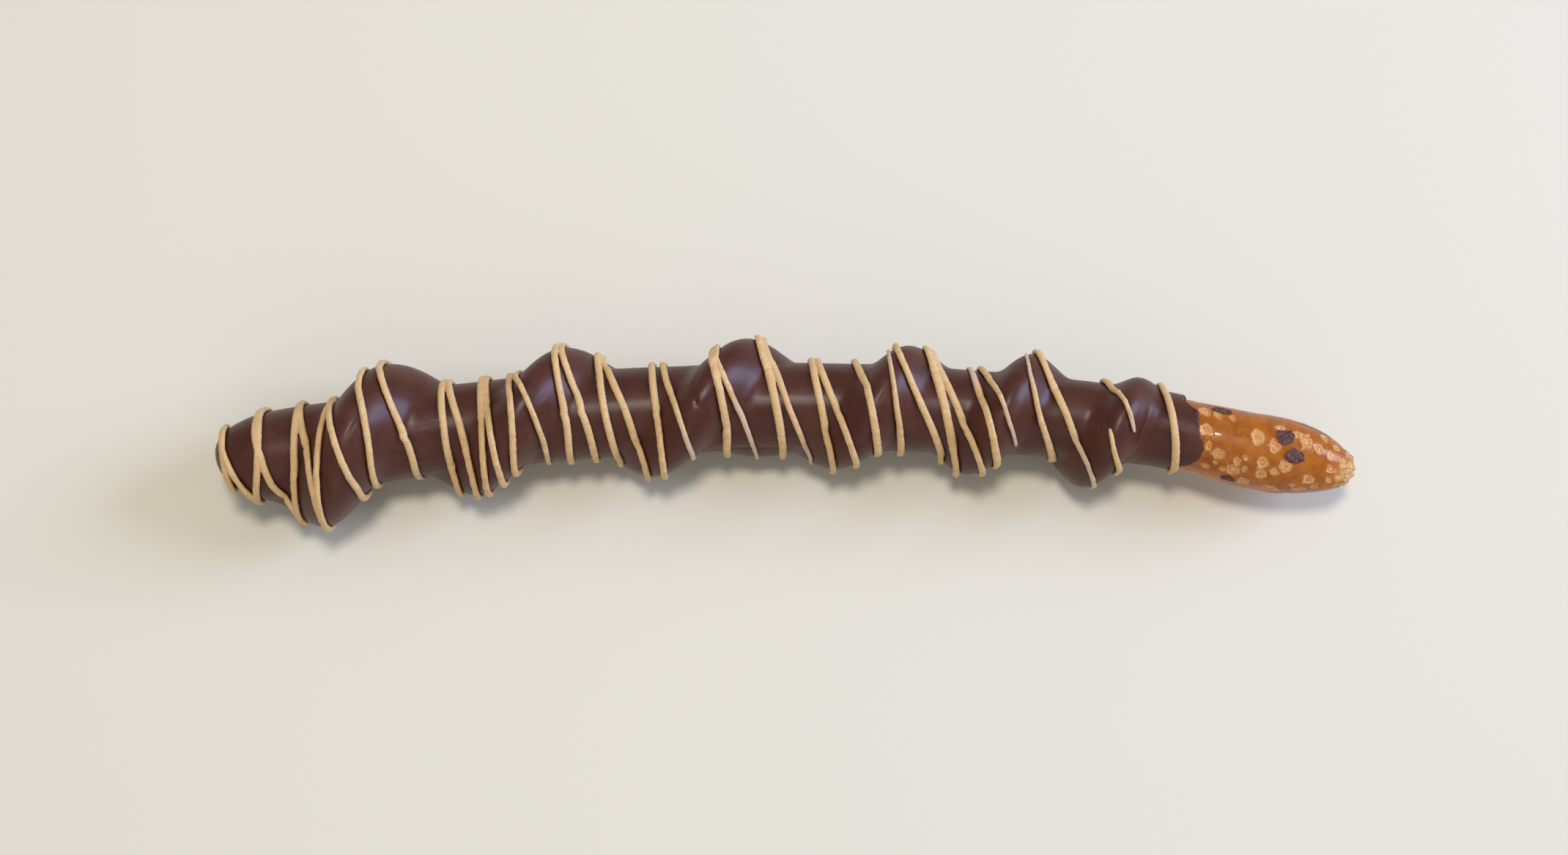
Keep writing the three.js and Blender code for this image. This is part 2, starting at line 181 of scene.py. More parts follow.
class Finish:
    """One finish's node tree, built a node at a time."""

    def __init__(self, name, roughness, specular):
        self.material = bpy.data.materials.new(name)
        self.material.use_nodes = True
        self.nodes = self.material.node_tree.nodes
        self.links = self.material.node_tree.links
        self.shader = self.nodes["Principled BSDF"]
        self.shader.inputs["Roughness"].default_value = roughness
        self.shader.inputs["Specular IOR Level"].default_value = specular
        self.place = self.nodes.new("ShaderNodeTexCoord").outputs["Object"]

    def glaze(self, weight, roughness):
        """Lays a thin clear coat over the finish."""
        self.shader.inputs["Coat Weight"].default_value = weight
        self.shader.inputs["Coat Roughness"].default_value = roughness

    def set(self, node, socket, value):
        """Gives a socket a number or a colour, or links another node's output to it."""
        if isinstance(value, bpy.types.NodeSocket):
            self.links.new(value, node.inputs[socket])
        elif isinstance(value, (int, float)):
            node.inputs[socket].default_value = value
        else:
            node.inputs[socket].default_value = (*value[:3], 1)

    def noise(self, grain, detail=3, roughness=0.5, distortion=0):
        """Cloudy values from 0 to 1 with patches about grain metres across."""
        node = self.nodes.new("ShaderNodeTexNoise")
        node.inputs["Scale"].default_value = 1 / grain
        node.inputs["Detail"].default_value = detail
        node.inputs["Roughness"].default_value = roughness
        node.inputs["Distortion"].default_value = distortion
        self.links.new(self.place, node.inputs["Vector"])
        return node.outputs["Fac"]

    def attribute(self, name):
        """A value stored on the piece's points."""
        node = self.nodes.new("ShaderNodeAttribute")
        node.attribute_name = name
        return node.outputs["Fac"]

    def limits(self, value, low, high, to_low=0.0, to_high=1.0):
        """Spreads value from low..high to to_low..to_high, and stops there."""
        node = self.nodes.new("ShaderNodeMapRange")
        node.interpolation_type = "SMOOTHSTEP"
        sockets = ("From Min", "From Max", "To Min", "To Max")
        for socket, number in zip(sockets, (low, high, to_low, to_high)):
            node.inputs[socket].default_value = number
        self.links.new(value, node.inputs["Value"])
        return node.outputs["Result"]

    def math(self, operation, first, second):
        """One sum of two values."""
        node = self.nodes.new("ShaderNodeMath")
        node.operation = operation
        self.set(node, 0, first)
        self.set(node, 1, second)
        return node.outputs["Value"]

    def mix(self, factor, first, second):
        """A colour between two colours."""
        node = self.nodes.new("ShaderNodeMix")
        node.data_type = "RGBA"
        self.set(node, MIX_FACTOR, factor)
        self.set(node, MIX_FIRST, first)
        self.set(node, MIX_SECOND, second)
        return node.outputs[MIX_RESULT]

    def bump(self, height, distance, strength, under=None):
        """A normal tipped by a height in metres, laid over another bump if one is given."""
        node = self.nodes.new("ShaderNodeBump")
        node.inputs["Strength"].default_value = strength
        node.inputs["Distance"].default_value = distance
        self.links.new(height, node.inputs["Height"])
        if under is not None:
            self.links.new(under, node.inputs["Normal"])
        return node.outputs["Normal"]

    def done(self, base, roughness=None, normal=None):
        """Links the finished colour, roughness and normal, and gives back the material."""
        self.set(self.shader, "Base Color", base)
        if roughness is not None:
            self.links.new(roughness, self.shader.inputs["Roughness"])
        if normal is not None:
            self.links.new(normal, self.shader.inputs["Normal"])
        return self.material


def chocolate_finish(settings):
    """Satin dark chocolate with faint milky clouds and a thin glossy skin."""
    finish = Finish("dark_chocolate", roughness=0.46, specular=0.14)
    finish.glaze(weight=0.36, roughness=0.34)
    clouds = finish.noise(6 * MM, detail=5, roughness=0.6, distortion=0.6)
    grain = finish.noise(0.35 * MM)
    base = finish.mix(finish.limits(clouds, 0.36, 0.68), settings.chocolate, settings.milky)
    base = finish.mix(finish.limits(grain, 0.2, 0.8, 0.0, 0.22), base, CHOCOLATE_GRAIN)
    # Painted shade: the chocolate is darkened beside the drizzle lines.
    base = finish.mix(finish.attribute("shade"), base, PAINTED_SHADE_BESIDE_DRIZZLE)
    roughness = finish.limits(clouds, 0.3, 0.7, 0.40, 0.54)
    normal = finish.bump(grain, 0.012 * MM, 0.6)
    return finish.done(base, roughness, finish.bump(clouds, 0.05 * MM, 0.5, normal))


def smear_finish(settings):
    """Dull, rough chocolate rubbed thin over the crust."""
    finish = Finish("smeared_chocolate", roughness=0.6, specular=0.3)
    grain = finish.noise(0.4 * MM, detail=5, roughness=0.7)
    base = finish.mix(finish.limits(grain, 0.38, 0.66), settings.chocolate, settings.smear)
    roughness = finish.limits(grain, 0.3, 0.7, 0.42, 0.7)
    return finish.done(base, roughness, finish.bump(grain, 0.10 * MM, 0.9))


def icing_finish(settings):
    """Matte tan icing full of fine brown speckles."""
    finish = Finish("caramel_icing", roughness=0.5, specular=0.4)
    speckles = finish.noise(0.26 * MM, detail=4, roughness=0.62)
    clouds = finish.noise(3 * MM)
    base = finish.mix(finish.limits(clouds, 0.3, 0.7), settings.icing, WARM_ICING)
    base = finish.mix(finish.limits(speckles, 0.50, 0.72, 0.0, 0.62), base, settings.speckle)
    base = finish.mix(finish.attribute("thin"), base, settings.thin)
    # Painted shade at the foot of each line.
    base = finish.mix(finish.attribute("foot"), base, PAINTED_FOOT_SHADE)
    roughness = finish.limits(speckles, 0.3, 0.7, 0.42, 0.6)
    return finish.done(base, roughness, finish.bump(speckles, 0.035 * MM, 0.7))


def crust_finish(settings):
    """Glossy baked crust, pale salt scars and a crumbly broken tip."""
    finish = Finish("baked_crust", roughness=0.34, specular=0.12)
    finish.glaze(weight=0.34, roughness=0.08)
    clouds = finish.noise(2.6 * MM, detail=6, roughness=0.65, distortion=0.5)
    grain = finish.noise(0.3 * MM, detail=4, roughness=0.7)
    base = finish.mix(finish.limits(clouds, 0.3, 0.66), settings.crust_dark, settings.crust)
    base = finish.mix(finish.limits(grain, 0.35, 0.75, 0, 0.3), base, CRUST_FLECKS)
    scar = finish.math("MULTIPLY", finish.attribute("scar"), finish.limits(grain, 0.25, 0.6, 0.6, 1.0))
    pitted = finish.mix(finish.limits(grain, 0.34, 0.62, 0.45, 0.0), settings.scar, settings.crust)
    base = finish.mix(scar, base, pitted)
    broken = finish.mix(finish.limits(clouds, 0.38, 0.60), DARK_CRUMB, settings.crumb)
    base = finish.mix(finish.attribute("crumb"), base, broken)
    # Dark streaks near the back edge.
    base = finish.mix(finish.attribute("char"), base, DARK_STREAK_COLOUR)
    glossy = finish.limits(clouds, 0.3, 0.7, 0.22, 0.36)
    roughness = finish.math("ADD", glossy, finish.math("MULTIPLY", scar, 0.3))
    return finish.done(base, roughness, finish.bump(grain, 0.03 * MM, 0.6))


def table_finish(settings):
    """A pale, faintly glossy table top."""
    finish = Finish("pale_table", roughness=0.6, specular=0.15)
    clouds = finish.noise(0.4, detail=2)
    darker = [TABLE_CLOUDS * part for part in settings.table]
    return finish.done(finish.mix(clouds, settings.table, darker))


# ---------------------------------------------------------------- shared mesh work


# Farther from the axis than any surface.
FAR = 40 * MM
# Points of the solid model, and points of a finished piece, that are closer together than this are one.
SOLID_WELD = 0.002 * MM
WELD = 0.0005 * MM
# The degree of the smooth curve through the rod's middle.
AXIS_DEGREE = 9
# How often, and in what steps, to look further back for a surface that ends too soon.
STEPS_BACK = 20
STEP_BACK = 0.3 * MM
# The length of the rod's hidden nose, and its share of the rings that are out of sight.
HIDDEN_NOSE = 9 * MM
NOSE_SHARE = 0.2


def merged_copy(node):
    """A closed bmesh copy of a node of the solid model, with its loose triangles joined."""
    mesh = bmesh.new()
    mesh.from_mesh(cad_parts[node].data)
    bmesh.ops.remove_doubles(mesh, verts=mesh.verts, dist=SOLID_WELD)
    return mesh


def search_tree(mesh):
    """A search tree of a bmesh's faces; the bmesh itself is freed."""
    tree = BVHTree.FromBMesh(mesh)
    mesh.free()
    return tree


def shown_surface(name):
    """A search tree of a finished piece's faces."""
    mesh = bmesh.new()
    mesh.from_mesh(bpy.data.objects[name].data)
    return search_tree(mesh)


class RodAxis:
    """The rod's middle line, as a smooth curve through the solid rod."""

    def __init__(self):
        places = np.array([vertex.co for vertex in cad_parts[ROD_NODE].data.vertices])
        self.low, self.high = places[:, 0].min(), places[:, 0].max()
        self.across = np.polynomial.Polynomial.fit(places[:, 0], places[:, 1], AXIS_DEGREE)
        self.up = np.polynomial.Polynomial.fit(places[:, 0], places[:, 2], AXIS_DEGREE)

    def at(self, x):
        """The point of the axis at x."""
        return Vector((x, self.across(x), self.up(x)))

    def angle_of(self, point):
        """Where a point lies round the axis, from 0 in front over 90 degrees on top, in radians."""
        centre = self.at(point.x)
        return math.atan2(point.z - centre.z, centre.y - point.y)

    def radius_of(self, point):
        """How far a point lies from the axis."""
        return (point - self.at(point.x)).length


def outward(angle, tilt=QUARTER_TURN):
    """The way out from the axis at an angle; a tilt under a quarter turn leans it to the dipped tip."""
    across, up = -math.cos(angle) * math.sin(tilt), math.sin(angle) * math.sin(tilt)
    return Vector((-math.cos(tilt), across, up))


def outer_point(tree, centre, direction):
    """Where a surface is met from far outside, straight towards the axis."""
    return tree.ray_cast(centre + direction * FAR, -direction, FAR)[0]


def outer_point_at(tree, axis, x, angle):
    """Where a surface is met at x, or as far out as a little further back if it ends before x."""
    centre = axis.at(x)
    for step in range(STEPS_BACK):
        behind = axis.at(x - step * STEP_BACK)
        point = outer_point(tree, behind, outward(angle))
        if point is not None:
            return point + centre - behind
    raise RuntimeError(f"no surface near x = {x / MM:.1f} mm")


def hidden_ray(axis, angle, share, mouth):
    """A centre and a direction that find the hidden rod, from share 0 at its tip to 1 at the mouth."""
    nose = axis.low + HIDDEN_NOSE
    if share < NOSE_SHARE:
        return axis.at(nose), outward(angle, share / NOSE_SHARE * QUARTER_TURN)
    along = (share - NOSE_SHARE) / (1 - NOSE_SHARE)
    return axis.at(nose + along * (mouth - nose)), outward(angle)


def tube(stations, sides):
    """A tube of stations by sides faces, as a bmesh; each vertex has its station and its angle."""
    mesh = bmesh.new()
    ends = [mesh.verts.new((0, -1, 0)), mesh.verts.new((stations, -1, 0))]
    line = mesh.edges.new(ends)
    bmesh.ops.subdivide_edges(mesh, edges=[line], cuts=stations - 1)
    bmesh.ops.spin(
        mesh, geom=mesh.verts[:] + mesh.edges[:], cent=(0, 0, 0), axis=(1, 0, 0), dvec=(0, 0, 0),
        angle=2 * math.pi, steps=sides, use_merge=True, use_duplicate=False,
    )
    return mesh


def station_and_angle(vertex):
    """Which ring of a fresh tube a vertex is on, and its angle round the axis."""
    return round(vertex.co.x), math.atan2(vertex.co.z, -vertex.co.y)


def soften(mesh, verts, rounds):
    """Evens out the given vertices, as many times over as there are rounds."""
    for _ in range(rounds):
        bmesh.ops.smooth_vert(
            mesh, verts=verts, factor=0.5, use_axis_x=True, use_axis_y=True, use_axis_z=True
        )


def move_out(lifts):
    """Moves vertices along their normals by their own lifts, and keeps them above the table."""
    for vertex, lift in lifts:
        vertex.co += vertex.normal * lift
        vertex.co.z = max(vertex.co.z, 0)


def wave(point, size, seed=0.0):
    """A smooth random height from -1 to 1, changing over size metres."""
    return noise.noise(point / size + Vector((seed, 3.1 * seed, -1.7 * seed)))


def smoothstep(low, high, value):
    """0 below low, 1 above high, and a soft step between."""
    share = min(max((value - low) / (high - low), 0.0), 1.0)
    return share * share * (3 - 2 * share)


def turn_from(degrees, angle):
    """The signed turn from an angle in degrees to one in radians, in radians."""
    return (angle - math.radians(degrees) + math.pi) % (2 * math.pi) - math.pi


def piece_from(mesh, name, material, node_names):
    """Turns a bmesh into a finished, smooth piece that stands for nodes of the solid model."""
    bmesh.ops.remove_doubles(mesh, verts=mesh.verts, dist=WELD)
    bmesh.ops.recalc_face_normals(mesh, faces=mesh.faces)
    for face in mesh.faces:
        face.smooth = True
    data = bpy.data.meshes.new(name)
    mesh.to_mesh(data)
    mesh.free()
    data.materials.append(material)
    piece = bpy.data.objects.new(name, data)
    bpy.context.scene.collection.objects.link(piece)
    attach(piece, BODY)
    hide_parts(*node_names)
    return piece


# ---------------------------------------------------------------- the chocolate dip


# Rings over the dip's closed nose, its lip and its pocket, and the length of that nose.
COAT_NOSE_RINGS, LIP_RINGS, POCKET_RINGS = 36, 6, 24
COAT_NOSE = 10 * MM
# The lip rounds over this length, and the pocket leaves this gap round the rod.
LIP_LENGTH = 0.4 * MM
POCKET_GAP = 0.03 * MM
COAT_SOFTENING = 14
# Painted shade: the chocolate is painted darkest nearer to the drizzle than the first distance, and plain
# past the second.
PAINTED_SHADE_FROM, PAINTED_SHADE_TO = 0.35 * MM, 1.0 * MM
# Where the chocolate ends: angle round the rod in degrees, and how far short of the solid dip's end in mm.
DIP_LINE = (
    (-20, 4.2), (10, 3.6), (28, 1.2), (44, 0.1), (58, -0.4), (72, -0.3), (86, 0.4), (102, 0.2),
    (121, 0.3), (141, 2.3), (170, 1.4), (205, 2.0), (240, 3.2), (280, 2.6), (310, 3.4),
)
# How far its edge wavers to and fro in mm, and how closely.
WAVER = 0.35
WAVER_RATE = 7
# Small marks set into the chocolate: x from the middle in mm, angle in degrees, length, width, how far the
# long side is turned from along the rod to round it in degrees, height in mm and ripples per mm across it.
DIP_MARKS = (
    (-14.6, 82, 1.3, 0.7, 100, 0.30, 0), (-14.5, 106, 4.2, 1.6, 68, 0.13, 0.8),
    (-12.1, 86, 2.4, 1.2, 50, 0.12, 0.9), (-12.8, 19, 5.0, 1.2, 60, 0.16, 0.5),
    (-5.8, 8, 11.0, 1.0, 0, 0.20, 0), (47.7, 11, 9.0, 0.6, 71, 0.17, 0),
    (62.3, 48, 0.6, 0.5, 0, 0.24, 0), (10.5, 74, 0.5, 0.5, 0, 0.18, 0),
    (-70.8, 88, 3.6, 1.8, 60, 0.10, 0.8), (-40.5, 94, 3.0, 1.6, 55, 0.09, 0.8),
    (16.4, 87, 3.2, 1.6, 55, 0.09, 0.8), (38.1, 84, 3.4, 1.6, 55, 0.10, 0.7),
    (60.4, 80, 9.0, 2.6, 72, 0.12, 0.5), (58.0, 20, 7.0, 2.4, 66, 0.12, 0.5),
    (-58.5, 84, 3.5, 1.0, 10, 0.08, 0.8), (68.5, 118, 1.4, 0.9, 20, 0.12, 0),
    (69.0, 140, 2.0, 0.9, 70, 0.14, 0),
)


def dip_line(angle, far_end):
    """How far along the rod the chocolate reaches at an angle round it."""
    angles = [math.radians(around) for around, _ in DIP_LINE]
    short = np.interp(angle, angles, [gap for _, gap in DIP_LINE], period=2 * math.pi)
    ripple = noise.noise(Vector((WAVER_RATE * math.cos(angle), WAVER_RATE * math.sin(angle), 4.2)))
    return far_end - (float(short) + WAVER * ripple) * MM


def mark_height(place, angle, radius):
    """How far the small marks lift the chocolate at a place, in metres."""
    height = 0.0
    for along, around, long, wide, lean, lift, ripples in DIP_MARKS:
        ahead = place.x / MM - along
        if abs(ahead) > long:
            continue
        aside = turn_from(around, angle) * radius / MM
        turn = math.radians(lean)
        down = (ahead * math.cos(turn) + aside * math.sin(turn)) / (long / 2)
        across = aside * math.cos(turn) - ahead * math.sin(turn)
        fade = math.exp(-(down**2) - (across / (wide / 2)) ** 2)
        height += lift * fade * math.cos(2 * math.pi * ripples * across)
    return height * MM


def drizzle_surface():
    """A search tree of every line of the solid drizzle."""
    whole = bmesh.new()
    for node in DRIZZLE_NODES:
        whole.from_mesh(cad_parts[node].data)
    return search_tree(whole)


def turn_in(where, axis, outer_rings):
    """Places the rings past the outside: over the rounded lip, and back along the pocket to its tip."""
    rod = search_tree(merged_copy(ROD_NODE))

    def wall_point(centre, direction):
        return outer_point(rod, centre, direction) + direction * POCKET_GAP

    edges = {}
    for vertex, (station, angle, _) in where.items():
        if vertex.is_valid and station == outer_rings:
            edges[round(angle, 4)] = vertex.co.copy()
    for vertex, (station, angle, end) in where.items():
        if not vertex.is_valid or station <= outer_rings:
            continue
        if station <= outer_rings + LIP_RINGS:
            turn = (station - outer_rings) / LIP_RINGS * QUARTER_TURN
            edge = edges[round(angle, 4)]
            vertex.co = edge.lerp(wall_point(axis.at(end), outward(angle)), 1 - math.cos(turn))
            vertex.co.x = edge.x + (end - edge.x) * math.sin(turn)
        else:
            share = 1 - (station - outer_rings - LIP_RINGS) / POCKET_RINGS
            vertex.co = wall_point(*hidden_ray(axis, angle, share, end))


def coat_mesh(axis, settings):
    """The chocolate dip: outside, rounded lip and the pocket that holds the rod, as one closed skin."""
    outside = search_tree(merged_copy(COAT_NODE))
    tip, far_end = (corner.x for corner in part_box(COAT_NODE))
    nose = tip + COAT_NOSE
    body_rings = round((far_end - nose) / settings.cell)
    outer_rings = COAT_NOSE_RINGS + body_rings
    mesh = tube(outer_rings + LIP_RINGS + POCKET_RINGS, settings.sides)
    # This layer holds the painted shade beside the drizzle.
    painted_shade_layer = mesh.verts.layers.float.new("shade")
    where = {}
    for vertex in mesh.verts:
        station, angle = station_and_angle(vertex)
        end = dip_line(angle, far_end)
        where[vertex] = (station, angle, end)
        if station <= COAT_NOSE_RINGS:
            direction = outward(angle, station / COAT_NOSE_RINGS * QUARTER_TURN)
            vertex.co = outer_point(outside, axis.at(nose), direction)
        elif station <= outer_rings:
            share = (station - COAT_NOSE_RINGS) / body_rings
            x = nose + share * (end - LIP_LENGTH - nose)
            vertex.co = outer_point_at(outside, axis, x, angle)
    skin = [vertex for vertex, (station, _, _) in where.items() if station < outer_rings]
    pole = [vertex for vertex, (station, _, _) in where.items() if station == 0]
    bmesh.ops.pointmerge(mesh, verts=pole, merge_co=pole[0].co)
    skin = [vertex for vertex in skin if vertex.is_valid]
    soften(mesh, skin, COAT_SOFTENING)
    turn_in(where, axis, outer_rings)
    mesh.normal_update()
    lifts = []
    for vertex in skin:
        place = vertex.co
        lift = settings.waviness * (wave(place, 9 * MM) + 0.4 * wave(place, 4 * MM, 2.0))
        lift += mark_height(place, axis.angle_of(place), axis.radius_of(place))
        lifts.append((vertex, lift))
    move_out(lifts)
    # Painted shade: the chocolate is darkened where the drizzle lines are near.
    drizzle = drizzle_surface()
    for vertex in skin:
        gap = drizzle.find_nearest(vertex.co, 2 * PAINTED_SHADE_TO)[3] or 2 * PAINTED_SHADE_TO
        vertex[painted_shade_layer] = settings.painted_contact_shade * (1 - smoothstep(PAINTED_SHADE_FROM, PAINTED_SHADE_TO, gap))
    return mesh


class PRETZEL_OT_coat(bpy.types.Operator):
    """Makes the chocolate dip over the rod"""

    bl_idname = "pretzel.coat"
    bl_label = "Chocolate dip"

    def execute(self, context):
        settings = context.scene.pretzel.coat
        mesh = coat_mesh(RodAxis(), settings)
        piece_from(mesh, COAT_PIECE, chocolate_finish(settings), [COAT_NODE])
        return {"FINISHED"}


# ---------------------------------------------------------------- the drizzle


# How high a line of the solid drizzle stands, and how far off the solid dip it is held.
SOLID_HEIGHT = 0.84 * MM
SOLID_LINE_GAP = 0.32 * MM
# How deep a line is bedded in the chocolate, and how much flatter it is where it has run thin.
LINE_BED = 0.06 * MM
THIN_FLATNESS = 0.4
LINE_SOFTENING = 3
# Painted shade: a line's foot is painted darkest below the first height and plain above the second.
FOOT_SHADE_FROM, FOOT_SHADE_TO = 0.04 * MM, 0.32 * MM
FOOT_SHADE_DARKNESS = 0.9
# Lines that run out thin: number, the angles in degrees where that begins and where it is complete, and how
# far along the rod it holds from, in mm.
THIN_RUNS = (
    (11, 82, 40, -99), (12, 108, 70, -8.2), (13, 40, 5, 1.8), (16, 105, 135, 0), (19, 98, 130, 0),
    (20, 92, 66, 0), (21, 96, 125, 0), (22, 66, 26, 0), (23, 96, 76, 0), (7, 40, 0, -99), (3, 34, -10, -99),
)
# Small sideways kinks: number of the line, angle in degrees, and how far it jumps in mm.
KINKS = ((3, 72, -0.22), (15, 99, 0.14), (8, 80, -0.12), (24, 20, 0.10))
KINK_SPREAD = math.radians(4)


def remeshed(mesh, cell):
    """The same closed shape with an even surface of cell-sized faces."""
    data = bpy.data.meshes.new("working")
    mesh.to_mesh(data)
    mesh.free()
    holder = bpy.data.objects.new("working", data)
    bpy.context.scene.collection.objects.link(holder)
    modifier = holder.modifiers.new("even", "REMESH")
    modifier.mode = "VOXEL"
    modifier.voxel_size = cell
    graph = bpy.context.evaluated_depsgraph_get()
    even = bmesh.new()
    even.from_mesh(holder.evaluated_get(graph).to_mesh())
    holder.evaluated_get(graph).to_mesh_clear()
    bpy.data.objects.remove(holder)
    bpy.data.meshes.remove(data)
    return even


def seated(mesh, solid_tree, shown_tree, gap, bed, fullness):
    """Moves a piece from over the solid model's surface to the shown surface, and gives back its heights.

    It stands off the solid surface by gap. It is sunk into the shown one by bed, and fullness(vertex) says
    how many times its own height it stands there.
    """
    heights = {}
    for vertex in mesh.verts:
        point, normal, _, _ = solid_tree.find_nearest(vertex.co)
        height = max((vertex.co - point).dot(normal) - gap, 0)
        shown_point, shown_normal, _, _ = shown_tree.find_nearest(vertex.co)
        side = vertex.co - shown_point
        side -= shown_normal * side.dot(shown_normal)
        heights[vertex] = height * fullness(vertex) - bed
        vertex.co = shown_point + side + shown_normal * heights[vertex]
    return heights


def thinness(number, angle, x):
    """How thin a line of drizzle has run at an angle round the rod, from 0 to 1."""
    share = 0.0
    for line, begins, complete, beyond in THIN_RUNS:
        if line == number and x > beyond * MM:
            done = (math.degrees(angle) - begins) / (complete - begins)
            share = max(share, smoothstep(0, 1, done))
    return share


def kink(number, angle):
    """How far a line of drizzle jumps sideways at an angle round the rod."""
    jump = 0.0
    for line, around, size in KINKS:
        if line == number:
            jump += size * MM * math.exp(-((turn_from(around, angle) / KINK_SPREAD) ** 2))
    return jump


def line_mesh(number, node, axis, solid_tree, shown_tree, settings):
    """One line of drizzle, lying on the shown chocolate."""
    mesh = remeshed(merged_copy(node), settings.cell)
    thin_layer = mesh.verts.layers.float.new("thin")
    foot_shade_layer = mesh.verts.layers.float.new("foot")
    for vertex in mesh.verts:
        angle = axis.angle_of(vertex.co)
        sway = wave(vertex.co, 3.5 * MM, number) + 0.5 * wave(vertex.co, 1.1 * MM, number + 0.5)
        vertex[thin_layer] = thinness(number, angle, vertex.co.x)
        vertex.co.x += settings.wobble * sway + kink(number, angle)

    def fullness(vertex):
        return settings.height / SOLID_HEIGHT * (1 - THIN_FLATNESS * vertex[thin_layer])

    heights = seated(mesh, solid_tree, shown_tree, SOLID_LINE_GAP, LINE_BED, fullness)
    # Painted shade at each line's foot, where it meets the chocolate.
    for vertex, height in heights.items():
        vertex[foot_shade_layer] = FOOT_SHADE_DARKNESS * (1 - smoothstep(FOOT_SHADE_FROM, FOOT_SHADE_TO, height))
    soften(mesh, mesh.verts, LINE_SOFTENING)
    mesh.normal_update()
    move_out([(vertex, settings.swell) for vertex in mesh.verts])
    return mesh


class PRETZEL_OT_drizzle(bpy.types.Operator):
    """Makes every line of the drizzle on the chocolate"""

    bl_idname = "pretzel.drizzle"
    bl_label = "Icing drizzle"

    def execute(self, context):
        settings = context.scene.pretzel.drizzle
        material = icing_finish(settings)
        axis = RodAxis()
        solid_tree = search_tree(merged_copy(COAT_NODE))
        shown_tree = shown_surface(COAT_PIECE)
        for number, node in enumerate(DRIZZLE_NODES, 1):
            mesh = line_mesh(number, node, axis, solid_tree, shown_tree, settings)
            piece_from(mesh, node.replace("drizzle", "icing_line"), material, [node])
        return {"FINISHED"}


# ---------------------------------------------------------------- the baked rod


# The rod shows past this place. Short of it the chocolate hides it, and its mesh is plain.
BARE_FROM = 64 * MM
# Rings over the hidden part and over the tip, and the length of that tip.
HIDDEN_RINGS, TIP_RINGS = 60, 64
TIP_LENGTH = 8 * MM
ROD_SOFTENING = 20
# Salt scars that show from above: distance along from the middle in mm, angle round the rod in degrees,
# length and width in mm.
SCARS = (
    (71, 129, 1.9, 1.9), (73, 126, 1.3, 1.9), (75.5, 124, 1.0, 1.0), (70.8, 94, 1.9, 1.9),
    (79.4, 98, 2.3, 2.3), (83.6, 121, 1.5, 1.5), (85.8, 114, 1.5, 1.6), (87.4, 106, 2.0, 2.6),
    (82, 86, 1.5, 2.3), (89.6, 98, 1.4, 2.0), (91, 128, 1.1, 1.5), (93, 114, 1.4, 1.1),
    (91.8, 90, 1.5, 1.5), (93.3, 84, 0.6, 0.6), (91.8, 62, 1.7, 1.3), (91.6, 40, 1.1, 1.1),
    (88, 41, 1.8, 1.8), (85.5, 26, 1.0, 1.0), (87, 16, 2.2, 1.1), (89.2, 24, 1.3, 1.3),
    (82, 12, 2.3, 1.6), (77.6, 18, 1.8, 1.5), (80, 59, 1.9, 1.9), (80, 40, 1.7, 1.8),
    (84, 60, 2.0, 2.3), (82, 48, 1.5, 1.5), (77.3, 43, 0.8, 1.1), (75.5, 36, 1.9, 2.2),
    (73.8, 32, 1.0, 1.1), (77.3, 62, 0.8, 0.8), (75.9, 54, 1.4, 1.4), (72.9, 58, 1.8, 1.8),
    (72.5, 43, 0.8, 0.8), (71.1, 29, 1.3, 1.3), (72.7, -2, 0.9, 0.9), (71.8, 6, 0.7, 0.7),
    (71.2, 68, 0.9, 1.6),
)
# A scar does nothing past this many times its own half width. In the same measure: where its rim is and how
# wide, where its floor ends, and how far the ripples of its floor turn, in radians.
SCAR_REACH = 1.6
RIM_AT, RIM_WIDTH = 0.92, 0.15
FLOOR_EDGE = (0.86, 1.06)
FLOOR_RIPPLES = 8.0
# The scars on the sides that face away: how many, and between which limits they are scattered.
HIDDEN_SCARS = 34
SCATTER_ALONG, SCATTER_AROUND, SCATTER_SIZE = (71, 93), (150, 335), (0.8, 2.1)
SCATTER_SEED = 12
# Dark streaks near the back edge: from and to along the rod in mm, and their angle in degrees.
DARK_STREAKS = ((76, 84, 158), (87, 94, 147), (71, 74, 154))
DARK_STREAK_WIDTH = 0.5 * MM
DARK_STREAK_FADE = 1
DARK_STREAK_DARKNESS = 0.85
# The pale seam where the rod lay on the baking tray.
SEAM_ANGLE = -8
SEAM_TO = 86 * MM
SEAM_FADE = 3 * MM
SEAM_WIDTH = 0.45 * MM
SEAM_HEIGHT = 0.3 * MM
SEAM_PALENESS = 0.7
# The broken tip turns this far to the front over the first length, and juts out this far over the second.
TIP_TURN, TURN_LENGTH = 0.45 * MM, 9 * MM
TIP_POINT, POINT_LENGTH = 0.15 * MM, 1.6 * MM
# The crumb is whole nearer to the rod's end than the first distance and gone past the second: all round it,
# and on a larger break centred on an angle in degrees, which ends between two turns from that.
CRUMB_ROUND = (1.0 * MM, 2.2 * MM)
CRUMB_BREAK = (2.4 * MM, 4.5 * MM)
CRUMB_ANGLE = 40
CRUMB_SPREAD = (math.radians(35), math.radians(60))


def all_scars():
    """The scars seen from above, and others scattered over the sides that face away."""
    scatter = random.Random(SCATTER_SEED)
    hidden = []
    for _ in range(HIDDEN_SCARS):
        along = scatter.uniform(*SCATTER_ALONG)
        around = scatter.uniform(*SCATTER_AROUND)
        size = scatter.uniform(*SCATTER_SIZE)
        hidden.append((along, around, size, size))
    return (*SCARS, *hidden)


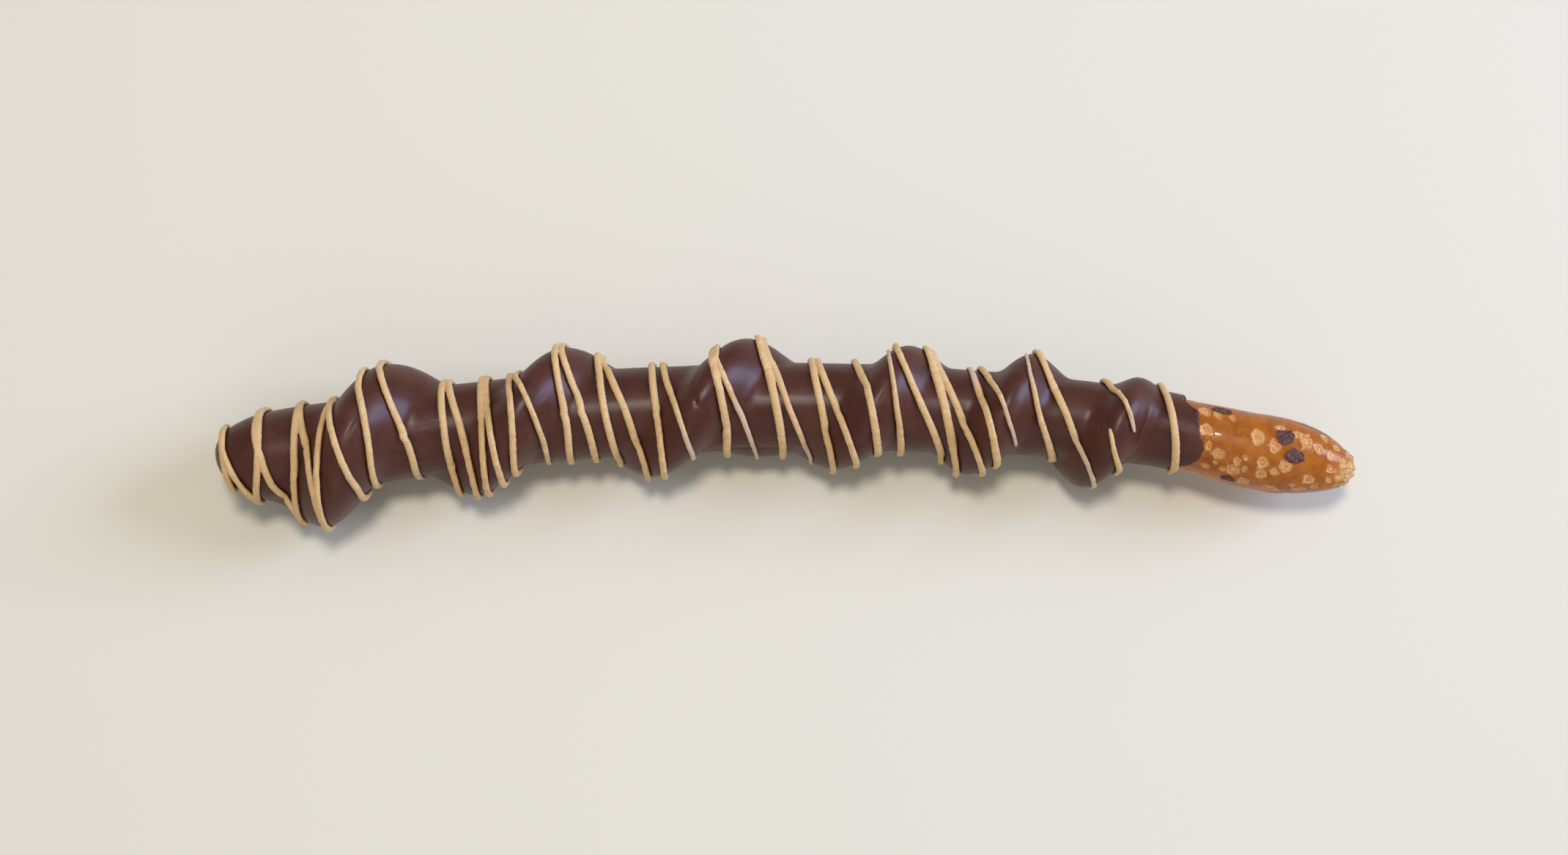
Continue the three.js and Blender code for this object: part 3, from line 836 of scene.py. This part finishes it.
def scar_at(place, angle, radius, scars):
    """Height change, as a share of a scar's depth, and paleness of the crust at a place."""
    height, pale = 0.0, 0.0
    for index, (along, around, long, wide) in enumerate(scars):
        ahead = (place.x - along * MM) / (long * MM / 2)
        if abs(ahead) > SCAR_REACH:
            continue
        aside = turn_from(around, angle) * radius / (wide * MM / 2)
        if abs(aside) > SCAR_REACH:
            continue
        uneven = 1 + 0.42 * wave(place, 0.9 * MM, index) + 0.22 * wave(place, 0.4 * MM, index)
        away = math.hypot(ahead, aside) * uneven
        rings = 0.5 + 0.5 * math.cos(away * FLOOR_RIPPLES + index)
        rim = math.exp(-(((away - RIM_AT) / RIM_WIDTH) ** 2))
        inside = 1 - smoothstep(*FLOOR_EDGE, away)
        height += rim - inside * (0.5 + 0.8 * rings)
        pale = max(pale, inside * (0.50 + 0.50 * (1 - rings)), 0.95 * rim)
    return height, pale


def crumb_at(place, angle, high):
    """How broken the crust is at a place, from 0 to 1, on a rod that ends at high."""
    whole, gone = CRUMB_BREAK
    crumb = smoothstep(high - gone, high - whole, place.x + 1.2 * MM * wave(place, 1.6 * MM, 8))
    crumb *= 1 - smoothstep(*CRUMB_SPREAD, abs(turn_from(CRUMB_ANGLE, angle)))
    whole, gone = CRUMB_ROUND
    return max(crumb, smoothstep(high - gone, high - whole, place.x))


def seam_at(place, angle, radius):
    """How much of the pale seam is at a place, from 0 to 1."""
    seam = math.exp(-((turn_from(SEAM_ANGLE, angle) * radius / SEAM_WIDTH) ** 2))
    return seam * (1 - smoothstep(SEAM_TO - SEAM_FADE, SEAM_TO, place.x))


def dark_streak_at(place, angle, radius):
    """How dark the streaks near the back edge make the crust at a place, from 0 to 1."""
    brown = 0.0
    for start, stop, around in DARK_STREAKS:
        along = smoothstep((start - DARK_STREAK_FADE) * MM, (start + DARK_STREAK_FADE) * MM, place.x)
        along *= 1 - smoothstep((stop - DARK_STREAK_FADE) * MM, (stop + DARK_STREAK_FADE) * MM, place.x)
        aside = turn_from(around, angle) * radius + 0.4 * MM * wave(place, 1.5 * MM, 12)
        brown = max(brown, along * math.exp(-((aside / DARK_STREAK_WIDTH) ** 2)))
    return brown


def rod_tube(axis, settings):
    """A tube laid onto the solid rod, and its scar, crumb and dark streak layers."""
    tree = search_tree(merged_copy(ROD_NODE))
    nose = axis.high - TIP_LENGTH
    bare_rings = round((nose - BARE_FROM) / settings.cell)
    mesh = tube(HIDDEN_RINGS + bare_rings + TIP_RINGS, settings.sides)
    layers = [mesh.verts.layers.float.new(name) for name in ("scar", "crumb", "char")]
    for vertex in mesh.verts:
        station, angle = station_and_angle(vertex)
        past = station - HIDDEN_RINGS
        if past <= 0:
            centre, direction = hidden_ray(axis, angle, station / HIDDEN_RINGS, BARE_FROM)
        elif past <= bare_rings:
            centre = axis.at(BARE_FROM + past / bare_rings * (nose - BARE_FROM))
            direction = outward(angle)
        else:
            centre = axis.at(nose)
            direction = outward(angle, QUARTER_TURN * (1 + (past - bare_rings) / TIP_RINGS))
        vertex.co = outer_point(tree, centre, direction)
    bmesh.ops.remove_doubles(mesh, verts=mesh.verts, dist=WELD)
    return mesh, layers


def rod_mesh(axis, settings):
    """The baked rod, fine where it is bare and plain where the chocolate hides it."""
    mesh, (scar_layer, crumb_layer, dark_streak_layer) = rod_tube(axis, settings)
    high = axis.high
    bare = [vertex for vertex in mesh.verts if vertex.co.x > BARE_FROM]
    soften(mesh, bare, ROD_SOFTENING)
    for vertex in bare:
        vertex.co.y -= TIP_TURN * smoothstep(high - TURN_LENGTH, high, vertex.co.x)
        vertex.co.x += TIP_POINT * smoothstep(high - POINT_LENGTH, high, vertex.co.x)
    bmesh.ops.recalc_face_normals(mesh, faces=mesh.faces)
    mesh.normal_update()
    scars = all_scars()
    lifts = []
    for vertex in bare:
        place, angle, radius = vertex.co, axis.angle_of(vertex.co), axis.radius_of(vertex.co)
        height, pale = scar_at(place, angle, radius, scars)
        crumb = crumb_at(place, angle, high)
        seam = seam_at(place, angle, radius)
        lift = settings.scar_depth * height
        lift += settings.lumps * (wave(place, 4 * MM) + 0.3 * wave(place, 1.3 * MM, 5))
        lift += crumb * (0.55 * wave(place, 0.9 * MM, 9) + 0.30 * wave(place, 0.45 * MM, 10)) * MM
        lift += SEAM_HEIGHT * seam * (0.7 + 0.3 * wave(place, 1.5 * MM, 11))
        vertex[scar_layer] = max(pale * (1 - crumb), SEAM_PALENESS * seam)
        vertex[crumb_layer] = crumb
        # Dark streaks near the back edge.
        vertex[dark_streak_layer] = DARK_STREAK_DARKNESS * dark_streak_at(place, angle, radius)
        lifts.append((vertex, lift))
    move_out(lifts)
    return mesh


class PRETZEL_OT_rod(bpy.types.Operator):
    """Makes the baked rod with its bare, salt-scarred end"""

    bl_idname = "pretzel.rod"
    bl_label = "Baked rod"

    def execute(self, context):
        settings = context.scene.pretzel.rod
        mesh = rod_mesh(RodAxis(), settings)
        piece_from(mesh, ROD_PIECE, crust_finish(settings), [ROD_NODE])
        return {"FINISHED"}


# ---------------------------------------------------------------- chocolate spots


# The smears' mesh step, how far off the solid rod they are held and how deep they are bedded in the crust.
SMEAR_CELL = 0.08 * MM
SOLID_SMEAR_GAP = 0.12 * MM
SMEAR_BED = 0.04 * MM
# Their outline is ragged at these two sizes in mm, by this share of each.
RAGGED_SIZES = (1.1, 0.5)
RAGGED_SHARE = 0.3


def smear_fullness(vertex):
    """How many times its own height a smear stands at a vertex."""
    return 0.6 + 0.6 * wave(vertex.co, 0.6 * MM, 3)


class PRETZEL_OT_spots(bpy.types.Operator):
    """Makes the smears of chocolate on the bare end"""

    bl_idname = "pretzel.spots"
    bl_label = "Chocolate spots"

    def execute(self, context):
        material = smear_finish(context.scene.pretzel.coat)
        solid_tree = search_tree(merged_copy(ROD_NODE))
        shown_tree = shown_surface(ROD_PIECE)
        for number, node in enumerate(SPOT_NODES):
            mesh = remeshed(merged_copy(node), SMEAR_CELL)
            for vertex in mesh.verts:
                for size in RAGGED_SIZES:
                    vertex.co.x += RAGGED_SHARE * size * MM * wave(vertex.co, size * MM, number)
                    vertex.co.y += RAGGED_SHARE * size * MM * wave(vertex.co, size * MM, number + 7)
            seated(mesh, solid_tree, shown_tree, SOLID_SMEAR_GAP, SMEAR_BED, smear_fullness)
            name = node.replace("chocolate_spot", "chocolate_smear")
            piece_from(mesh, name, material, [node])
        return {"FINISHED"}


# ---------------------------------------------------------------- the stage


# Each light: name, azimuth and elevation in degrees, distance and size in metres, and tint.
LIGHTS = (
    ("key", 182, 83, 0.9, 0.18, (1.0, 0.95, 0.88)),
    ("window", 104, 28, 1.4, 0.78, (0.50, 0.62, 1.0)),
    ("fill", 5, 32, 1.2, 1.0, (1.0, 0.97, 0.93)),
)
ROOM_TINT = (0.97, 0.97, 1.0, 1)
TABLE_HALF_WIDTH = 1.5
# The camera's sensor in mm, and how near to the lens it sees, in metres.
SENSOR_WIDTH = 36
NEAREST_SEEN = 0.01


def from_angles(azimuth, elevation, distance):
    """A place seen from the middle: azimuth 0 is in front, 90 to the right and 180 behind, in degrees."""
    turn, rise = math.radians(azimuth), math.radians(elevation)
    across, back = math.sin(turn) * math.cos(rise), -math.cos(turn) * math.cos(rise)
    return Vector((across, back, math.sin(rise))) * distance


def facing(location, aim):
    """The turn of a light or a camera that looks from location to aim."""
    return (aim - location).to_track_quat("-Z", "Y").to_euler()


def area_light(name, location, aim, size, watts, tint):
    """A round soft light pointing at aim."""
    data = bpy.data.lights.new(name, "AREA")
    data.shape = "DISK"
    data.size = size
    data.energy = watts
    data.color = tint
    light = bpy.data.objects.new(name, data)
    light.location = location
    light.rotation_euler = facing(location, aim)
    bpy.context.scene.collection.objects.link(light)


class PRETZEL_OT_stage(bpy.types.Operator):
    """Makes the table, the lights and the camera"""

    bl_idname = "pretzel.stage"
    bl_label = "Table, lights and camera"

    def execute(self, context):
        settings = context.scene.pretzel.stage
        scene = context.scene
        scene.view_settings.view_transform = "Standard"
        aim = Vector((0, settings.aim_back, settings.aim_height))

        floor = bmesh.new()
        bmesh.ops.create_grid(floor, x_segments=8, y_segments=8, size=TABLE_HALF_WIDTH)
        data = bpy.data.meshes.new("table_top")
        floor.to_mesh(data)
        floor.free()
        data.materials.append(table_finish(settings))
        table = bpy.data.objects.new("table_top", data)
        scene.collection.objects.link(table)

        world = bpy.data.worlds.new("room")
        world.use_nodes = True
        background = world.node_tree.nodes["Background"]
        background.inputs["Color"].default_value = ROOM_TINT
        background.inputs["Strength"].default_value = settings.room
        scene.world = world

        for name, azimuth, elevation, distance, size, tint in LIGHTS:
            watts = getattr(settings, f"{name}_power")
            area_light(name, from_angles(azimuth, elevation, distance), aim, size, watts, tint)

        data = bpy.data.cameras.new("camera")
        data.lens = settings.lens
        data.sensor_width = SENSOR_WIDTH
        data.clip_start = NEAREST_SEEN
        camera = bpy.data.objects.new("camera", data)
        camera.location = aim + from_angles(0, math.degrees(settings.elevation), settings.distance)
        camera.rotation_euler = facing(camera.location, aim)
        scene.collection.objects.link(camera)
        scene.camera = camera
        return {"FINISHED"}


class PRETZEL_PT_parts(bpy.types.Panel):
    """Lists the pretzel rod's pieces"""

    bl_label = "Dipped pretzel rod"
    bl_idname = "PRETZEL_PT_parts"
    bl_space_type = "VIEW_3D"
    bl_region_type = "UI"
    bl_category = "Pretzel"

    def draw(self, context):
        settings = context.scene.pretzel
        groups = (
            (PRETZEL_OT_stage, settings.stage),
            (PRETZEL_OT_rod, settings.rod),
            (PRETZEL_OT_coat, settings.coat),
            (PRETZEL_OT_spots, None),
            (PRETZEL_OT_drizzle, settings.drizzle),
        )
        for operator, group in groups:
            box = self.layout.box()
            box.operator(operator.bl_idname)
            for name in group.__annotations__ if group else ():
                box.prop(group, name)


CLASSES = (
    PretzelCoatSettings,
    PretzelRodSettings,
    PretzelDrizzleSettings,
    PretzelStageSettings,
    PretzelSettings,
    PRETZEL_OT_stage,
    PRETZEL_OT_rod,
    PRETZEL_OT_coat,
    PRETZEL_OT_spots,
    PRETZEL_OT_drizzle,
    PRETZEL_PT_parts,
)


def register():
    """Adds the settings, the operators and the panel."""
    for item in CLASSES:
        bpy.utils.register_class(item)
    bpy.types.Scene.pretzel = PointerProperty(type=PretzelSettings)


def unregister():
    """Takes them away again."""
    del bpy.types.Scene.pretzel
    for item in reversed(CLASSES):
        bpy.utils.unregister_class(item)


def main():
    """Builds the pretzel rod and its stage."""
    register()
    bpy.ops.pretzel.stage()
    bpy.ops.pretzel.rod()
    bpy.ops.pretzel.coat()
    bpy.ops.pretzel.spots()
    bpy.ops.pretzel.drizzle()


if __name__ == "__main__":
    main()
